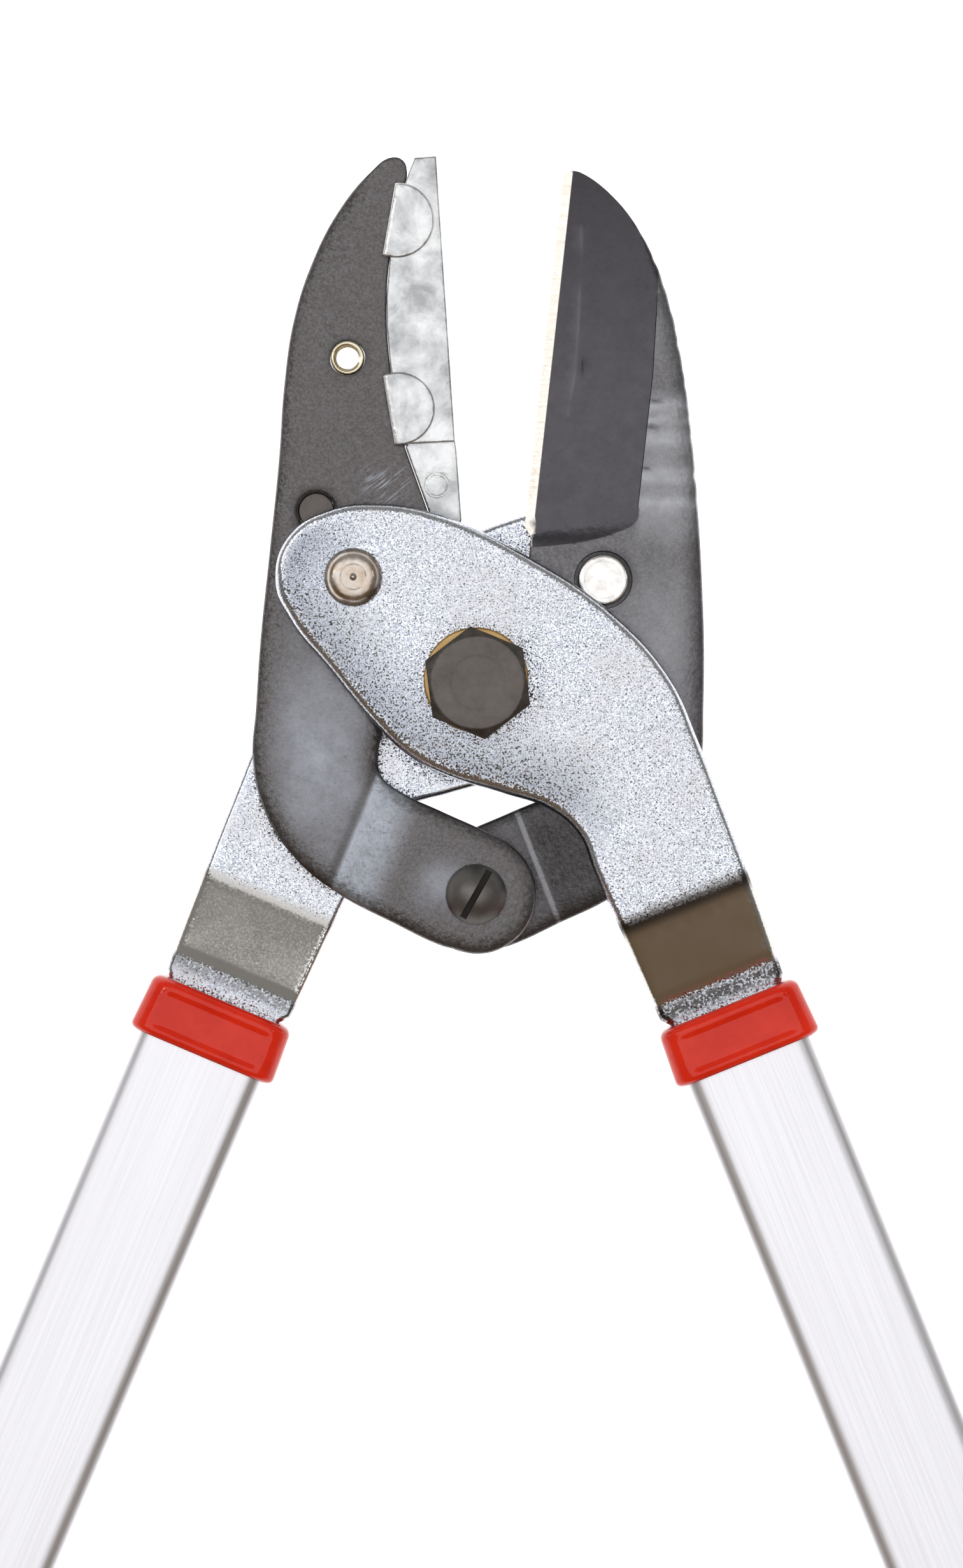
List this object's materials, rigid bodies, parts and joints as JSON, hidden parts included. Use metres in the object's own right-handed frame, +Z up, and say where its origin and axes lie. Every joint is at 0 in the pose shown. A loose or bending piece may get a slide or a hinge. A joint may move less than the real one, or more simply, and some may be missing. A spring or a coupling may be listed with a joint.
{
  "type": "anvil lopper",
  "caption": "Long-handled lopper whose compound levers close a ground blade onto a soft-metal anvil to cut branches.",
  "frame": {"origin": "on the surface that the tool lies on, under the middle of its outline with the handles at rest", "axes": "+X across the tool towards the blade's side, +Y along it towards the jaw tips, +Z up, square to the plane in which the jaws and handles swing"},
  "size_m": [0.5724, 0.6988, 0.033],
  "materials": {
    "plate_zinc": "zinc-plated stamped steel with a fine pebbled sparkle",
    "jaw_steel": "black-oxide forged steel, satin and faintly mottled",
    "blade_steel": "dark coated forged steel with a bright ground edge",
    "anvil_alloy": "pale die-cast alloy, mottled",
    "bush_brass": "turned, dull",
    "bolt_steel": "phosphated dark steel, satin",
    "washer_zinc": "yellow-passivated zinc",
    "rivet_zinc": "yellowish zinc-plated steel with turned rings",
    "screw_black": "black satin",
    "ferrule_red": "glossy red moulding",
    "tube_aluminium": "drawn tube, fine satin anodised",
    "insert_plastic": "plain moulded",
    "pin_steel": "plain",
    "grip_vinyl": "soft red moulded vinyl, semi-matte",
    "cap_plastic": "black moulding"
  },
  "bodies": {
    "left_handle": {"back_lever_plate": "plate_zinc", "left_ferrule": "ferrule_red", "left_tube": "tube_aluminium", "left_tang_sleeve": "insert_plastic", "left_tang_pin": "pin_steel", "left_grip": "grip_vinyl", "left_grip_cap": "cap_plastic", "pivot_bolt": "bolt_steel", "pivot_washer_front": "washer_zinc", "pivot_washer_back": "washer_zinc", "pivot_spacer": "bush_brass", "pivot_nut": "bolt_steel", "blade_rivet": "rivet_zinc"},
    "right_handle": {"front_lever_plate": "plate_zinc", "right_ferrule": "ferrule_red", "right_tube": "tube_aluminium", "right_tang_sleeve": "insert_plastic", "right_tang_pin": "pin_steel", "right_grip": "grip_vinyl", "right_grip_cap": "cap_plastic", "anvil_rivet": "rivet_zinc"},
    "anvil_jaw": {"anvil_jaw": "jaw_steel", "anvil": "anvil_alloy", "anvil_bush": "bush_brass", "stop_pin": "bolt_steel", "link_screw": "screw_black", "link_washer": "bolt_steel", "link_nut": "bolt_steel"},
    "blade": {"blade": "blade_steel"}
  },
  "joints": [
    {"name": "handle_pivot", "type": "hinge", "parent": "left_handle", "child": "right_handle", "pos_m": [0, 0.25232, 0.0165], "axis": [0, 0, 1], "range_deg": [-26, 46]},
    {"name": "anvil_jaw_pivot", "type": "hinge", "parent": "right_handle", "child": "anvil_jaw", "pos_m": [-0.023, 0.27162, 0.0165], "axis": [0, 0, 1], "range_deg": [-16, 9.2]},
    {"name": "blade_pivot", "type": "hinge", "parent": "left_handle", "child": "blade", "pos_m": [0.023, 0.27162, 0.0165], "axis": [0, 0, 1], "range_deg": [-9.2, 16]}
  ],
  "couplings": [
    {"joint": "anvil_jaw_pivot", "follows": "handle_pivot", "ratio": -0.34},
    {"joint": "blade_pivot", "follows": "handle_pivot", "ratio": 0.34}
  ]
}
